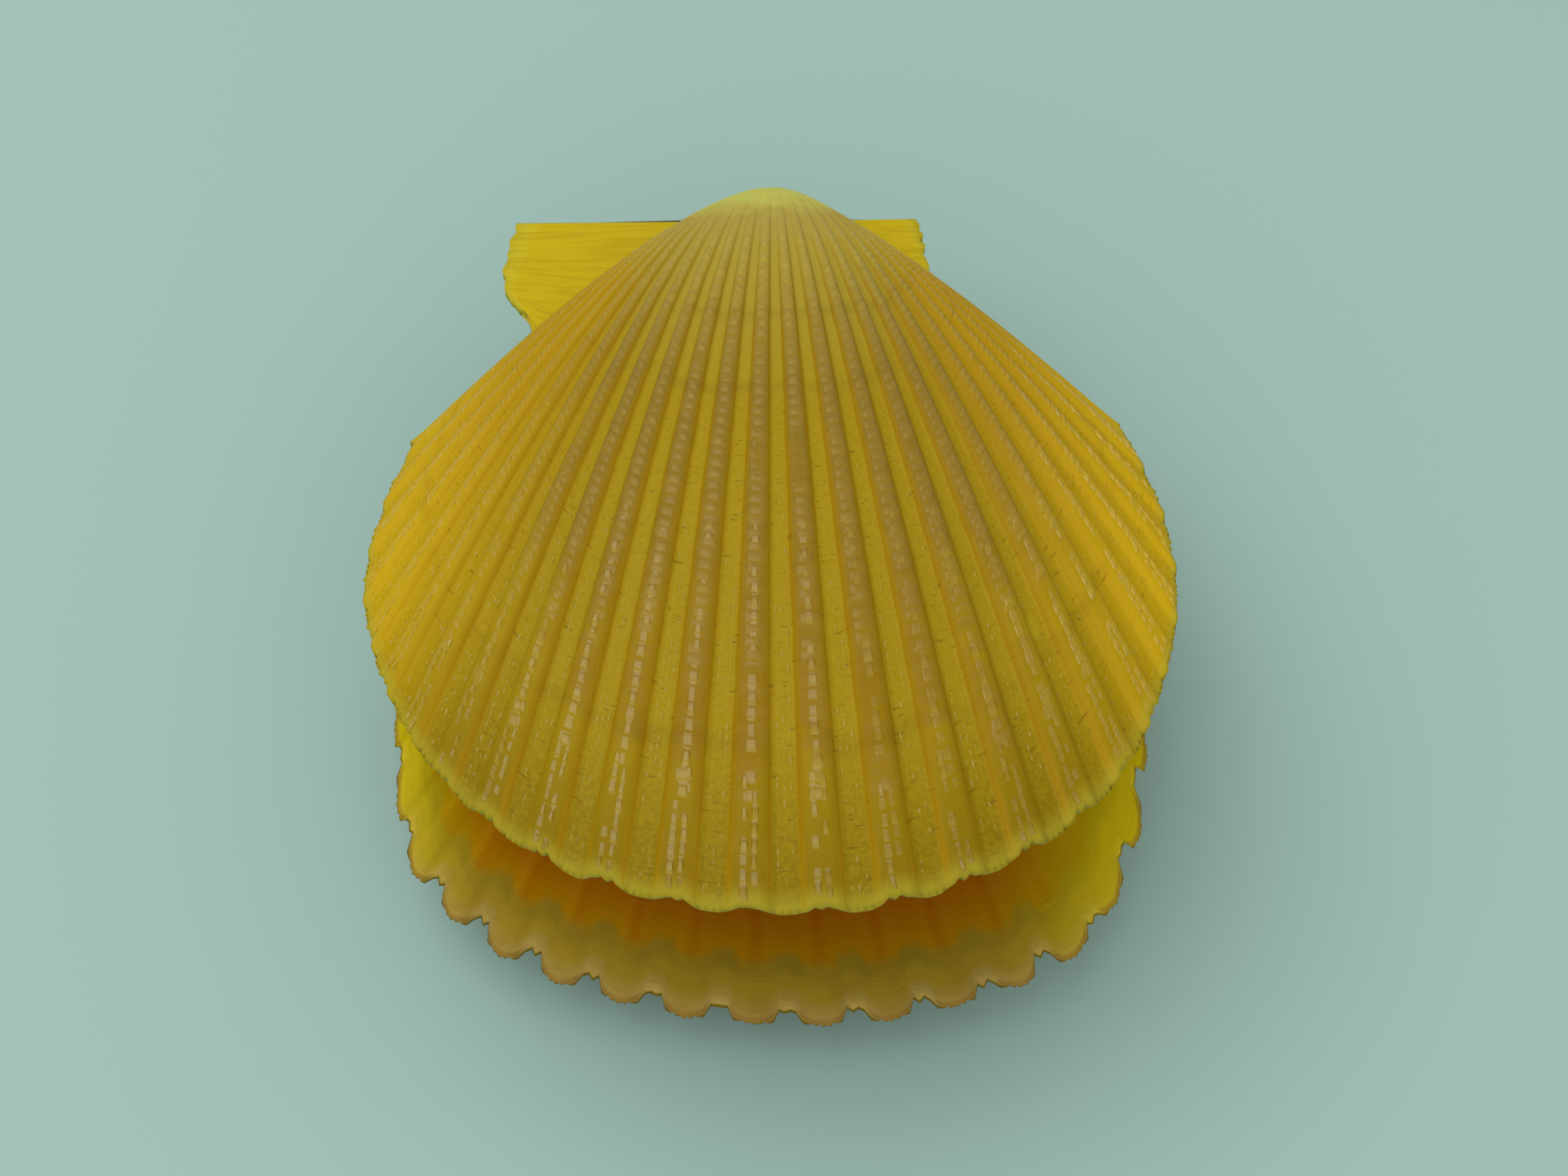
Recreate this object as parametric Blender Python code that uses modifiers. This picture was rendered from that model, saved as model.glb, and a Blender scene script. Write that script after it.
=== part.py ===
"""Glorious scallop shell: two ribbed valves, gaping, held at the hinge by the dried ligament.

Each valve is a sheet that grows as a logarithmic spiral about the hinge line, the way the
shell itself grows: a rib keeps its fan angle, and a growth line keeps its turn about the
hinge. The sheet is one grid, mapped vertex by vertex and thickened inward. The ribs are then
raised on its outer face, so the inside is smooth at the beak and fluted near the margin.

Valve coordinates, in mm: x along the hinge, y from the hinge to the ventral margin, z out of
the valve. The margin lies near z = 0. World: +X right, hinge at +Y, +Z up, in metres.
"""

import math

import bmesh
import bpy
import numpy as np
from mathutils import Matrix

MM = 0.001

# Pose: how far the valves gape, how far the lower one leans on its flat spot, and where the
# world's origin is: on the floor, under the middle of the whole.
GAPE_DEG = 16.5
REST_TILT_DEG = 6.8
REST_LIFT_MM = 14.98
ORIGIN_X_MM, ORIGIN_Y_MM = -0.295, 32.255

# Growth: radius of the margin from the umbo at each fan angle, and the tightness of the spiral
# at the middle and at the two flanks. A smaller number makes a more swollen valve.
FLANK_L_DEG, FLANK_R_DEG = -49.3, 49.2
UPPER_MARGIN = (
    (-49.3, 35.8), (-38, 48.3), (-30, 54.8), (-22, 60.2), (-14, 64.1), (-7, 65.7), (0, 66.3),
    (7, 66.1), (14, 64.4), (22, 60.8), (30, 54.7), (36, 49.6), (49.2, 34.2),
)
LOWER_MARGIN = (
    (-49.3, 35.0), (-38, 45.9), (-32, 53.4), (-28, 58.2), (-22, 61.3), (-14, 63.1), (-7, 64.0),
    (0, 64.5), (7, 64.8), (14, 64.4), (22, 62.2), (27, 57.6), (36, 46.2), (49.2, 33.6),
)
UPPER_SPIRAL = (1.96, -0.164, 0.124)
LOWER_SPIRAL = (2.12, -0.16, 0.02)
TURNS = (2.1, 1.65, 1.15, 0.86, 0.65, 0.49, 0.355, 0.24, 0.145, 0.06, 0.0)

# Ribs: the fan angle of rib k is RIB_0 + RIB_STEP k, less a little toward the flanks. Each rib
# has two columns of the grid on its flat top and two in the groove beside it.
RIB_0, RIB_STEP, RIB_CLOSER_L, RIB_CLOSER_R = -1.7, 4.5, 0.05, 0.038
FIRST_RIB, LAST_RIB = -12.0, 12.5
COLUMN_STEPS = (-0.14, 0.14, 0.38, 0.62)
RIB_HEIGHT_MM, RIB_TAPER, RIB_FULL_SIZE = 1.3, 0.8, 0.12
FLANK_FADE = 1.4
UPPER_LOBE_MM, LOWER_LOBE_MM, LOBE_TURN = 0.6, 1.4, 0.06
FLUTE_INSIDE, FLUTE_FROM_SIZE = 0.6, 0.45

# Shell wall: the thickness, and the shares of it at the margin, on the ears and at the beak.
THICK_MM, MARGIN_THICK, EAR_THICK, BEAK_THICK = 1.3, 0.58, 0.62, 0.16
HINGE_THICK = 0.4
BASE_MM = 1.0
FOOT_LEAN, FOOT_MIN_MM, FOOT_BULGE, FOOT_HIGH = 0.25, 0.3, 1.35, 0.8
HINGE_EDGE_MM, HINGE_ROW_MM = 0.15, 0.12

# Ears (auricles): their outer edges from the hinge line down, one point per row of the grid.
EAR_COLUMNS = 3
EAR_Z_MM = 1.15
EAR_RIBLET_MM = 0.16
UPPER_EAR_L = ((-20.3, 0.15), (-20.6, 1.8), (-20.9, 3.4), (-21.0, 5.0), (-21.0, 6.7), (-20.4, 8.5))
UPPER_EAR_R = ((11.4, 0.15), (11.7, 1.5), (11.9, 2.9), (12.1, 4.4), (12.3, 6.3))
LOWER_EAR_L = ((-19.8, 0.15), (-20.2, 1.4), (-20.3, 2.7), (-20.0, 4.1), (-18.4, 5.6))
LOWER_EAR_R = ((11.2, 0.15), (11.5, 1.5), (11.7, 2.9), (11.9, 4.4), (12.1, 6.3))

# Ligament: its section across the hinge line, as (y, z), and its size at stations along it.
# The thick stretch is the pad under the beaks.
LIGAMENT_SECTION = (
    (1.0, -0.15), (1.0, 0.45), (-0.07, 0.2), (-0.22, 0.8), (-0.6, 0.6), (-0.6, -0.5),
    (-0.1, -0.8), (0.02, -0.2),
)
LIGAMENT_MIDDLE = (0.1, 0.1)
LIGAMENT_STATIONS = (
    (-18.6, 0.5), (-15.0, 0.85), (-7.0, 1.0), (-2.4, 1.0), (-1.7, 1.3), (1.7, 1.3), (2.4, 1.0),
    (7.5, 0.85), (10.2, 0.5),
)

CUTTER_SIDE = 0.1


def smooth_curve(x, knots):
    """A cubic through the knots."""
    xs, ys = np.array(knots, float).T
    slopes = np.gradient(ys, xs)
    i = np.clip(np.searchsorted(xs, x) - 1, 0, len(xs) - 2)
    h = xs[i + 1] - xs[i]
    u = (x - xs[i]) / h
    return (
        (1 + 2 * u) * (1 - u) ** 2 * ys[i]
        + u * (1 - u) ** 2 * h * slopes[i]
        + u * u * (3 - 2 * u) * ys[i + 1]
        + u * u * (u - 1) * h * slopes[i + 1]
    )


def rib_angle(k):
    closer = RIB_CLOSER_R if k > 0 else RIB_CLOSER_L
    return RIB_0 + RIB_STEP * k - math.copysign(closer * k * k, k)


def spiral_point(angle_deg, turn, valve):
    """The smooth valve under its ribs."""
    middle, left, right = valve["spiral"]
    flank = FLANK_L_DEG if angle_deg < 0 else FLANK_R_DEG
    tight = middle + (left if angle_deg < 0 else right) * (angle_deg / flank) ** 2
    radius = float(smooth_curve(angle_deg, valve["margin"])) * math.exp(-tight * turn)
    phi = math.radians(angle_deg)
    return np.array((
        radius * math.sin(phi),
        radius * math.cos(phi) * math.cos(turn),
        radius * math.cos(phi) * math.sin(turn) + BASE_MM,
    ))


def out_of_valve(angle_deg, turn, valve):
    """The direction at right angles to the smooth valve."""
    a, t = 0.4, 0.01
    across = spiral_point(angle_deg + a, turn, valve) - spiral_point(angle_deg - a, turn, valve)
    along = spiral_point(angle_deg, turn - t, valve) - spiral_point(angle_deg, turn + t, valve)
    normal = np.cross(across, along)
    return normal / np.linalg.norm(normal)


def rib_columns(phase):
    """Where the disc's columns stand, counted in ribs from the middle one of the upper valve."""
    ribs = range(math.floor(FIRST_RIB) - 1, math.ceil(LAST_RIB) + 2)
    places = [rib + step - phase for rib in ribs for step in COLUMN_STEPS]
    room = COLUMN_STEPS[1]
    inside = [k for k in places if FIRST_RIB + room < k < LAST_RIB - room]
    return [FIRST_RIB, *inside, LAST_RIB]


def disc_point(k, row, valve):
    """A point in the floor of the ribbed disc, and how much of a rib's height rises from it."""
    angle = {FIRST_RIB: FLANK_L_DEG, LAST_RIB: FLANK_R_DEG}.get(k, rib_angle(k))
    turn = TURNS[row]
    size = math.exp(-valve["spiral"][0] * turn)
    fade = min(1.0, (k - FIRST_RIB) * FLANK_FADE, (LAST_RIB - k) * FLANK_FADE)
    from_rib = abs(k + valve["phase"] - round(k + valve["phase"]))
    on_rib = from_rib < COLUMN_STEPS[1] + 0.01
    height = size ** RIB_TAPER * min(1.0, size / RIB_FULL_SIZE) * fade
    flute = FLUTE_INSIDE * max(0.0, (size - FLUTE_FROM_SIZE) / (1 - FLUTE_FROM_SIZE))
    floor = RIB_HEIGHT_MM * height * (flute * on_rib - 0.5)
    point = spiral_point(angle, turn, valve) + floor * out_of_valve(angle, turn, valve)
    lobe = valve["lobe"] * (0.5 - on_rib) * max(0.0, 1 - turn / LOBE_TURN) * fade
    point[0] += lobe * math.sin(math.radians(angle))
    point[1] += lobe * math.cos(math.radians(angle))
    return point, height * (1 - flute) * on_rib


def disc_thickness(row, valve):
    """The share of the full wall: thin at the beak and at the margin."""
    size = math.exp(-valve["spiral"][0] * TURNS[row])
    thin = (1 - MARGIN_THICK) * max(0.0, (size - FLUTE_FROM_SIZE) / (1 - FLUTE_FROM_SIZE))
    return min(1.0, BEAK_THICK + size / RIB_FULL_SIZE * 0.7) - thin


def flank_foot(side, row, share, valve):
    """The steep flank: share 1 is its foot, on the ear or at the free edge."""
    top = spiral_point(FLANK_L_DEG if side < 0 else FLANK_R_DEG, TURNS[row], valve)
    rise = top[2] - BASE_MM
    out = FOOT_LEAN * rise + FOOT_MIN_MM
    foot_z = BASE_MM + (EAR_Z_MM - BASE_MM) * min(1.0, rise / 2.0)
    down = share
    if share < 1:
        out *= share * FOOT_BULGE
        down = share * FOOT_HIGH
    return np.array((
        top[0] + side * out,
        max(top[1] - out, HINGE_EDGE_MM + HINGE_ROW_MM * (row - 1)),
        top[2] + (foot_z - top[2]) * down,
    ))


def ear_point(side, row, share, valve):
    """share runs from 0 at the flank's foot to 1 at the ear's outer edge."""
    edge = valve["ear_l" if side < 0 else "ear_r"]
    outer = np.array((*edge[row - 1], EAR_Z_MM))
    inner = flank_foot(side, row, 1, valve)
    point = inner + (outer - inner) * share
    if 1 < row < len(edge):
        riblet = EAR_RIBLET_MM if row % 2 else -EAR_RIBLET_MM
        point[2] += riblet * math.sin(math.pi / 2 * min(share * 1.6, 1.0))
    return point


def to_world(point, up, gape_deg):
    """From valve coordinates in mm to the world in metres: the gape, then the lean at rest."""
    x, y, z = point
    gape, lean = math.radians(gape_deg), math.radians(REST_TILT_DEG)
    z *= up
    y, z = y * math.cos(gape) - z * math.sin(gape), y * math.sin(gape) + z * math.cos(gape)
    y, z = y * math.cos(lean) + z * math.sin(lean), z * math.cos(lean) - y * math.sin(lean)
    return (x - ORIGIN_X_MM) * MM, (ORIGIN_Y_MM - y) * MM, (z + REST_LIFT_MM) * MM


def valve_sheet(name, valve):
    """One valve: its sheet, with the wall's thickness and the ribs' rise as vertex groups."""
    places = rib_columns(valve["phase"])
    disc, left, rows = len(places) - 1, EAR_COLUMNS + 2, len(TURNS) - 1
    columns = left + disc + left
    ear_rows = {-1: len(valve["ear_l"]), 1: len(valve["ear_r"])}
    sheet = bmesh.new()
    bmesh.ops.create_grid(sheet, x_segments=columns, y_segments=rows, size=1.0)

    def grid_place(co):
        return (co.x + 1) / 2 * columns, (co.y + 1) / 2 * rows

    beyond = []
    for face in sheet.faces:
        column, row = (int(place) for place in grid_place(face.calc_center_median()))
        side = -1 if column < EAR_COLUMNS else 1 if column >= columns - EAR_COLUMNS else 0
        if side and (row == 0 or row >= ear_rows[side]):
            beyond.append(face)
    bmesh.ops.delete(sheet, geom=beyond, context="FACES")
    weights = sheet.verts.layers.deform.verify()
    for vertex in sheet.verts:
        column, row = (round(place) for place in grid_place(vertex.co))
        rise, thick = 0.0, EAR_THICK if row > 1 else HINGE_THICK
        if row == 0:
            point, thick = (0.0, HINGE_EDGE_MM, EAR_Z_MM), BEAK_THICK
        elif left <= column <= left + disc:
            point, rise = disc_point(places[column - left], row, valve)
            thick = disc_thickness(row, valve)
        else:
            side = -1 if column < left else 1
            steps = left - column if side < 0 else column - left - disc
            if steps <= 2:
                point = flank_foot(side, row, steps / 2, valve)
            else:
                point = ear_point(side, row, (steps - 2) / EAR_COLUMNS, valve)
        vertex.co = to_world(point, valve["up"], valve["gape"])
        vertex[weights][0] = thick
        vertex[weights][1] = rise
    bmesh.ops.remove_doubles(sheet, verts=sheet.verts, dist=1e-3 * MM)
    widest = max(sheet.faces, key=lambda face: face.calc_area())
    if widest.normal.z * valve["up"] < 0:
        bmesh.ops.reverse_faces(sheet, faces=sheet.faces)
    mesh = bpy.data.meshes.new(name)
    sheet.to_mesh(mesh)
    sheet.free()
    made = bpy.data.objects.new(name, mesh)
    for group in ("wall", "ribs", "inside"):
        made.vertex_groups.new(name=group)
    return made


def thicken(made):
    """The wall grows inward from the sheet."""
    wall = made.modifiers.new("wall", "SOLIDIFY")
    wall.thickness = THICK_MM * MM
    wall.offset = -1
    wall.vertex_group = "wall"
    wall.thickness_vertex_group = 0.0
    wall.shell_vertex_group = "inside"


def raise_ribs(made):
    """The ribs rise from the outer face only."""
    outer = made.modifiers.new("outer_face_only", "VERTEX_WEIGHT_MIX")
    outer.vertex_group_a = "ribs"
    outer.vertex_group_b = "inside"
    outer.mix_set = "ALL"
    outer.mix_mode = "SUB"
    ribs = made.modifiers.new("ribs", "DISPLACE")
    ribs.vertex_group = "ribs"
    ribs.direction = "NORMAL"
    ribs.mid_level = 0.0
    ribs.strength = RIB_HEIGHT_MM * MM


def cut_flat_spot(made, cutters):
    """The plane that takes the lowest ribs down to the flat spot the shell rests on."""
    block = bmesh.new()
    bmesh.ops.create_cube(block, size=CUTTER_SIDE)
    bmesh.ops.translate(block, verts=block.verts, vec=(0, 0, -CUTTER_SIDE / 2))
    mesh = bpy.data.meshes.new("rest_cutter")
    block.to_mesh(mesh)
    block.free()
    cutter = bpy.data.objects.new("rest_cutter", mesh)
    cutter.hide_render = True
    cutter.display_type = "WIRE"
    cutters.objects.link(cutter)
    flat = made.modifiers.new("flat_spot", "BOOLEAN")
    flat.operation = "DIFFERENCE"
    flat.solver = "EXACT"
    flat.object = cutter


def ligament():
    """A strip along the hinge line, between the ears' edges and lapping over them behind."""
    strip = bmesh.new()
    first_x, size = LIGAMENT_STATIONS[0]
    middle_y, middle_z = LIGAMENT_MIDDLE
    corners = [
        strip.verts.new(to_world((
            first_x, middle_y + (y - middle_y) * size, middle_z + (z - middle_z) * size,
        ), 1, 0.0))
        for y, z in LIGAMENT_SECTION
    ]
    cap = strip.faces.new(corners)
    x_before = first_x
    middle = Matrix.Translation(to_world((0, middle_y, middle_z), 1, 0)).inverted()
    for x, new_size in LIGAMENT_STATIONS[1:]:
        if x_before != first_x:
            moved = bmesh.ops.extrude_discrete_faces(strip, faces=[cap])["faces"]
            cap = moved[0]
            verts = list(cap.verts)
        else:
            moved = bmesh.ops.extrude_face_region(strip, geom=[cap])["geom"]
            verts = [item for item in moved if isinstance(item, bmesh.types.BMVert)]
            cap = next(item for item in moved if isinstance(item, bmesh.types.BMFace))
        bmesh.ops.translate(strip, verts=verts, vec=((x - x_before) * MM, 0, 0))
        grow = new_size / size
        bmesh.ops.scale(strip, verts=verts, vec=(1, grow, grow), space=middle)
        x_before, size = x, new_size
    bmesh.ops.recalc_face_normals(strip, faces=strip.faces)
    mesh = bpy.data.meshes.new("hinge_ligament")
    strip.to_mesh(mesh)
    strip.free()
    return bpy.data.objects.new("hinge_ligament", mesh)


def finish(made, name, colour, roughness):
    material = bpy.data.materials.new(name)
    material.use_nodes = True
    shader = material.node_tree.nodes["Principled BSDF"]
    shader.inputs["Base Color"].default_value = (*colour, 1)
    shader.inputs["Roughness"].default_value = roughness
    made.data.materials.append(material)


def main():
    for old in list(bpy.data.objects):
        bpy.data.objects.remove(old, do_unlink=True)
    scene = bpy.context.scene
    scene.unit_settings.system = "METRIC"
    scene.unit_settings.scale_length = 1.0
    parts = bpy.data.collections.new("glorious_scallop_shell")
    cutters = bpy.data.collections.new("cutters")
    scene.collection.children.link(parts)
    scene.collection.children.link(cutters)

    upper = valve_sheet("upper_valve", {
        "margin": UPPER_MARGIN, "spiral": UPPER_SPIRAL, "phase": 0.0, "lobe": UPPER_LOBE_MM,
        "ear_l": UPPER_EAR_L, "ear_r": UPPER_EAR_R, "gape": GAPE_DEG, "up": 1,
    })
    lower = valve_sheet("lower_valve", {
        "margin": LOWER_MARGIN, "spiral": LOWER_SPIRAL, "phase": 0.5, "lobe": LOWER_LOBE_MM,
        "ear_l": LOWER_EAR_L, "ear_r": LOWER_EAR_R, "gape": 0.0, "up": -1,
    })
    strip = ligament()
    for made in (upper, lower, strip):
        parts.objects.link(made)
    for made in (upper, lower):
        thicken(made)
        raise_ribs(made)
    cut_flat_spot(lower, cutters)

    finish(upper, "golden_shell", (0.62, 0.42, 0.06), 0.4)
    finish(lower, "tan_shell", (0.55, 0.36, 0.08), 0.45)
    finish(strip, "dried_ligament", (0.07, 0.035, 0.015), 0.6)


if __name__ == "__main__":
    main()
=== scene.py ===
"""Glorious scallop shell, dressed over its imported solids.

Both valves are rebuilt from the growth figures of the solids: a fine sheet that spirals about
the hinge, given its wall, its fan of ribs and its toothed margin. Rows of pads and scales stand
on the ribs and in the grooves. Lengths are in mm in the figures and in metres in the scene.
"""

import functools
import math

import bmesh
import bpy
import numpy as np
from bpy.props import FloatProperty, FloatVectorProperty, PointerProperty
from mathutils import Matrix, Vector


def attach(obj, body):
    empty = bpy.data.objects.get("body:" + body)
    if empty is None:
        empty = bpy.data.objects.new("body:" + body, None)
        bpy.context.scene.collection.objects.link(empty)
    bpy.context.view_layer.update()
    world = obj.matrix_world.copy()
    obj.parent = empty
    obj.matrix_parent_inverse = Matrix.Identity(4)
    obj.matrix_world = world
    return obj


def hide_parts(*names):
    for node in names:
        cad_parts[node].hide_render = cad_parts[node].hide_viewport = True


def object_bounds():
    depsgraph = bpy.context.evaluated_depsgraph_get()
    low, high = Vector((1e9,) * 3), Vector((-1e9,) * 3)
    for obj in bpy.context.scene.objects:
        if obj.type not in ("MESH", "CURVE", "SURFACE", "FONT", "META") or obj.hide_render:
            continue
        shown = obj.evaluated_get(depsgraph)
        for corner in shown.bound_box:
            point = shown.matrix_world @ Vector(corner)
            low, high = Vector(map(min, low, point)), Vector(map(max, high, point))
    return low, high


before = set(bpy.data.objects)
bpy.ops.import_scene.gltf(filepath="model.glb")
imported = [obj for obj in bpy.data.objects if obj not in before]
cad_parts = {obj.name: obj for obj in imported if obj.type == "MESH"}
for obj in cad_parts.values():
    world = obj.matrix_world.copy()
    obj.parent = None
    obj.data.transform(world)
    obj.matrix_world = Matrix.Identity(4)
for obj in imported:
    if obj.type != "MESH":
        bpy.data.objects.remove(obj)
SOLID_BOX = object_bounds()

bl_info = {
    "name": "Glorious scallop shell",
    "version": (1, 0, 0),
    "blender": (4, 5, 0),
    "location": "3D View > Sidebar > Scallop",
    "description": "Builds a gaping glorious scallop shell with ribs, scales and shell finishes",
    "category": "Object",
}

MM = 0.001

# Pose of the two valves, as the solids have it.
GAPE_DEG = 16.5
REST_TILT_DEG = 6.8
REST_LIFT_MM = 14.98
ORIGIN_X_MM, ORIGIN_Y_MM = -0.295, 32.255

# Growth of the two valves, as the solids have it: margin radius by fan angle, spiral, turns.
FLANK_L_DEG, FLANK_R_DEG = -49.3, 49.2
UPPER_MARGIN = (
    (-49.3, 35.8), (-38, 48.3), (-30, 54.8), (-22, 60.2), (-14, 64.1), (-7, 65.7), (0, 66.3),
    (7, 66.1), (14, 64.4), (22, 60.8), (30, 54.7), (36, 49.6), (49.2, 34.2),
)
LOWER_MARGIN = (
    (-49.3, 35.0), (-38, 45.9), (-32, 53.4), (-28, 58.2), (-22, 61.3), (-14, 63.1), (-7, 64.0),
    (0, 64.5), (7, 64.8), (14, 64.4), (22, 62.2), (27, 57.6), (36, 46.2), (49.2, 33.6),
)
UPPER_SPIRAL = (1.96, -0.164, 0.124)
LOWER_SPIRAL = (2.12, -0.16, 0.02)
TURNS = (2.1, 1.65, 1.15, 0.86, 0.65, 0.49, 0.355, 0.24, 0.145, 0.06, 0.0)
RIB_0, RIB_STEP, RIB_CLOSER_L, RIB_CLOSER_R = -1.7, 4.5, 0.05, 0.038
FIRST_RIB, LAST_RIB = -12.0, 12.5
FIRST_TURNED_DEG, LAST_TURNED_DEG = -0.8, 0.5875
RIB_TAPER = 0.8
THICK_MM, MARGIN_THICK, EAR_THICK, BEAK_THICK = 1.3, 0.58, 0.62, 0.16
HINGE_THICK, BASE_MM = 0.4, 1.0
HINGE_EDGE_MM, HINGE_ROW_MM, EAR_Z_MM = 0.15, 0.12, 1.15
UPPER_EAR_L = (
    (-20.3, 0.15), (-20.6, 1.8), (-20.9, 3.4), (-21.0, 5.0), (-21.0, 6.7), (-20.4, 8.5),
    (-19.0, 10.3),
)
UPPER_EAR_R = ((11.4, 0.15), (11.7, 1.5), (11.9, 2.9), (12.1, 4.4), (12.3, 6.3))
LOWER_EAR_L = ((-19.8, 0.15), (-20.2, 1.4), (-20.3, 2.7), (-20.0, 4.1), (-18.4, 5.6))
LOWER_EAR_R = ((11.2, 0.15), (11.5, 1.5), (11.7, 2.9), (11.9, 4.4), (12.1, 6.3))

# Relief that only the fine sheet has: ribs that sink at the umbo and the sides, and lobes.
UMBO_SMOOTH, UMBO_RIBBED = 0.09, 0.33
END_FADE, SIDE_FADE, SIDE_FROM, SIDE_TO = 1.4, 0.5, 5.5, 10.5
RIB_TOP, RIB_FOOT, RIB_CROWN = 0.2, 0.35, 0.09
RIBLET_STEP, RIBLET_SHARE, RIBLET_FROM, RIBLET_TO = 0.105, 0.12, 0.5, 0.75
GROOVE_FROM, GROOVE_TO = 0.31, 0.37
LOBE_TURN, LOBE_HALF, LOBE_ROUND, LOBE_UNEVEN = 0.06, 0.35, 0.6, 0.25
NOTCH_FROM, NOTCH_TO, TOOTH_PITCH = 0.14, 0.22, 0.165
EDGE_TURN, NIBBLED_MM, WORN_MM = 0.012, 0.07, 0.28
FLUTE_INSIDE, FLUTE_FROM_SIZE, FLUTE_TOP, FLUTE_FOOT = 0.6, 0.45, 0.12, 0.42
BEAK_THICKENS, THIN_TURN = 6, 0.02
SUNK_MM = 0.07
UMBO_TO_MARGIN_MM, RIB_STEP_MM = 64.0, 5.0

# Flanks and ears: the flank leans out and bulges on its way down to the flat ear.
FOOT_LEAN, FOOT_MIN_MM, FLANK_BULGE, FLANK_HANG, FLAT_RISE_MM = 0.05, 0.12, 0.7, 0.6, 2
EAR_STEPS_PER_ROW, EAR_IN_MM, EAR_SOFT_END = 2.6, 0.1, 1.5
EAR_FULL_ROW, BEAK_ROW, THIN_LEAST, FLANK_SHARE = 1.3, 1.01, 0.5, 0.2

# Scales and pads: the room between two, how far they sit in the valve, half their width in rib
# steps, and from which growth to which their rows run.
SCALE_ROOM, RING_UNEVEN, ASIDE = 0.06, 0.004, 0.12
SEATED_MM, UNDER_MM, BURIED_MM = 0.04, 0.16, 0.05
YOUNGEST, OLDEST = 0.02, 0.9985
PAD_HALF, SCALE_HALF, PAIRED_HALF, PAIR_APART, GROOVE_HALF = 0.19, 0.09, 0.06, 0.075, 0.028
PAD_REACH, CREST_REACH, PAIR_REACH = (0.25, 0.78), (0.62, 0.9), (0.87, 0.992)
SIDE_REACH, GROOVE_REACH, SIDE_ROW_IN = (0.3, 0.99), (0.55, 0.992), 0.12

# The fine sheet: rows between each two turns, and where its columns stand across one rib, with
# the rib's middle at 0. The rib's top is flat, and the groove has room for three fine riblets.
ROWS_BETWEEN = (2, 8, 10, 12, 13, 14, 15, 16, 17, 15)
RIB_COLUMNS = (-0.21, -0.125, -0.04, 0.04, 0.125, 0.21, 0.28, 0.345, 0.395, 0.4475, 0.5, 0.5525,
               0.605, 0.655, 0.72)
FLANK_COLUMNS, EAR_COLUMNS = 4, 9

# Marks of this one shell, by rib and growth: a dark speck and a pale mended spot.
SPECK_AT, SPECK_MM = (1.03, 0.87), 0.17
MENDED_AT, MENDED_MM = (5.41, 0.81), 0.9

# Patterns of the finishes. Broad patches are 8 mm wide and small ones 2.4 mm. The shell's own
# grain is finer than 0.1 mm and is drawn at 0.4 mm, as coarse as it needs to be to show. Along
# the shell are tiles of tone on the ribs, hair lines, growth rings, and streaks on the ears. The
# tan of the ribs reaches furthest out at the middle, and falls off by a rib's place squared.
BROAD_PER_MM, PATCH_PER_MM, GRAIN_PER_MM = 0.13, 0.42, 2.6
TILE_MM, HAIR_MM, RING_MM, STREAK_MM = 0.8, 0.15238, 0.27826, 1.06667
TAN_REACH, TAN_FALL = 0.86, -0.0042
RING_DEEP_MM, FIBRE_DEEP_MM = 0.07, 0.1
FIBRE_PER_MM, FIBRE_DARK, FIBRE_LIGHT = (0.3, 3.0, 3.0), "#2a1608", "#5a3416"

# Paleness at the tip, roughness and gloss of the two raised finishes. The pale tips are partly wear
# and partly a painted glint.
RAISED = {"waxy": (0.1, 0.27, 0.24), "glinting": (0.4, 0.2, 0.42)}
SHELL_GLOSS = 0.07

# The stage, in metres: a broad soft key above and behind, as the umbo is brightest, and a fill.
FLOOR_HALF, FLOOR_GAP = 1.5, 0.0001
KEY_AT, KEY_SIZE = (-0.16, 0.06, 0.46), 0.45
FILL_AT, FILL_SIZE = (0.0, -0.36, 0.2), 0.5
CAMERA_AT = (0.00137, -0.13258, 0.2421)
LENS_MM, SENSOR_MM = 80.78, 36
PITCH_DEG, YAW_DEG, ROLL_DEG = -59.847, -0.191, -0.781


def hex_colour(text):
    """A colour given as sRGB hex, as the linear colour that a shader takes."""
    parts = [int(text[i:i + 2], 16) / 255 for i in (1, 3, 5)]
    linear = (c / 12.92 if c <= 0.04045 else ((c + 0.055) / 1.055) ** 2.4 for c in parts)
    return (*linear, 1.0)


def length(name, description, mm):
    """A size on the panel, given in mm."""
    return FloatProperty(name=name, description=description, default=mm * MM, min=0, precision=5,
                         subtype="DISTANCE", unit="LENGTH")


def tint(name, description, text):
    """A colour on the panel, given as sRGB hex."""
    return FloatVectorProperty(name=name, description=description, default=hex_colour(text),
                               min=0, max=1, size=4, subtype="COLOR")


class ScallopSizes(bpy.types.PropertyGroup):
    """Sizes of the fine relief. The valves' own size and pose stay those of the solids."""

    rib_height: length("Rib height", "From a groove to the top of a rib at the margin", 0.85)
    upper_lobe: length("Upper lobes", "How far the upper margin swells between two ribs", 0.55)
    lower_lobe: length("Lower lobes", "How far the lower margin swells between two ribs", 1.8)
    tooth: length("Teeth", "Height of the small teeth in the notch at a rib's end", 0.2)
    ear_riblet: length("Ear riblets", "Height of the riblets on the ears", 0.06)
    pad_pitch: length("Pad pitch", "From one rounded pad on a rib to the next", 0.78)
    pad_rise: length("Pad rise", "How far a pad stands up", 0.12)
    scale_pitch: length("Scale pitch", "From one scale on a rib to the next", 1.0)
    scale_rise: length("Scale rise", "How far the scales on the ribs stand up", 0.13)
    groove_pitch: length("Groove scale pitch", "From one fine scale in a groove to the next", 0.75)
    groove_rise: length("Groove scale rise", "How far the fine scales stand up", 0.07)


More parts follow.
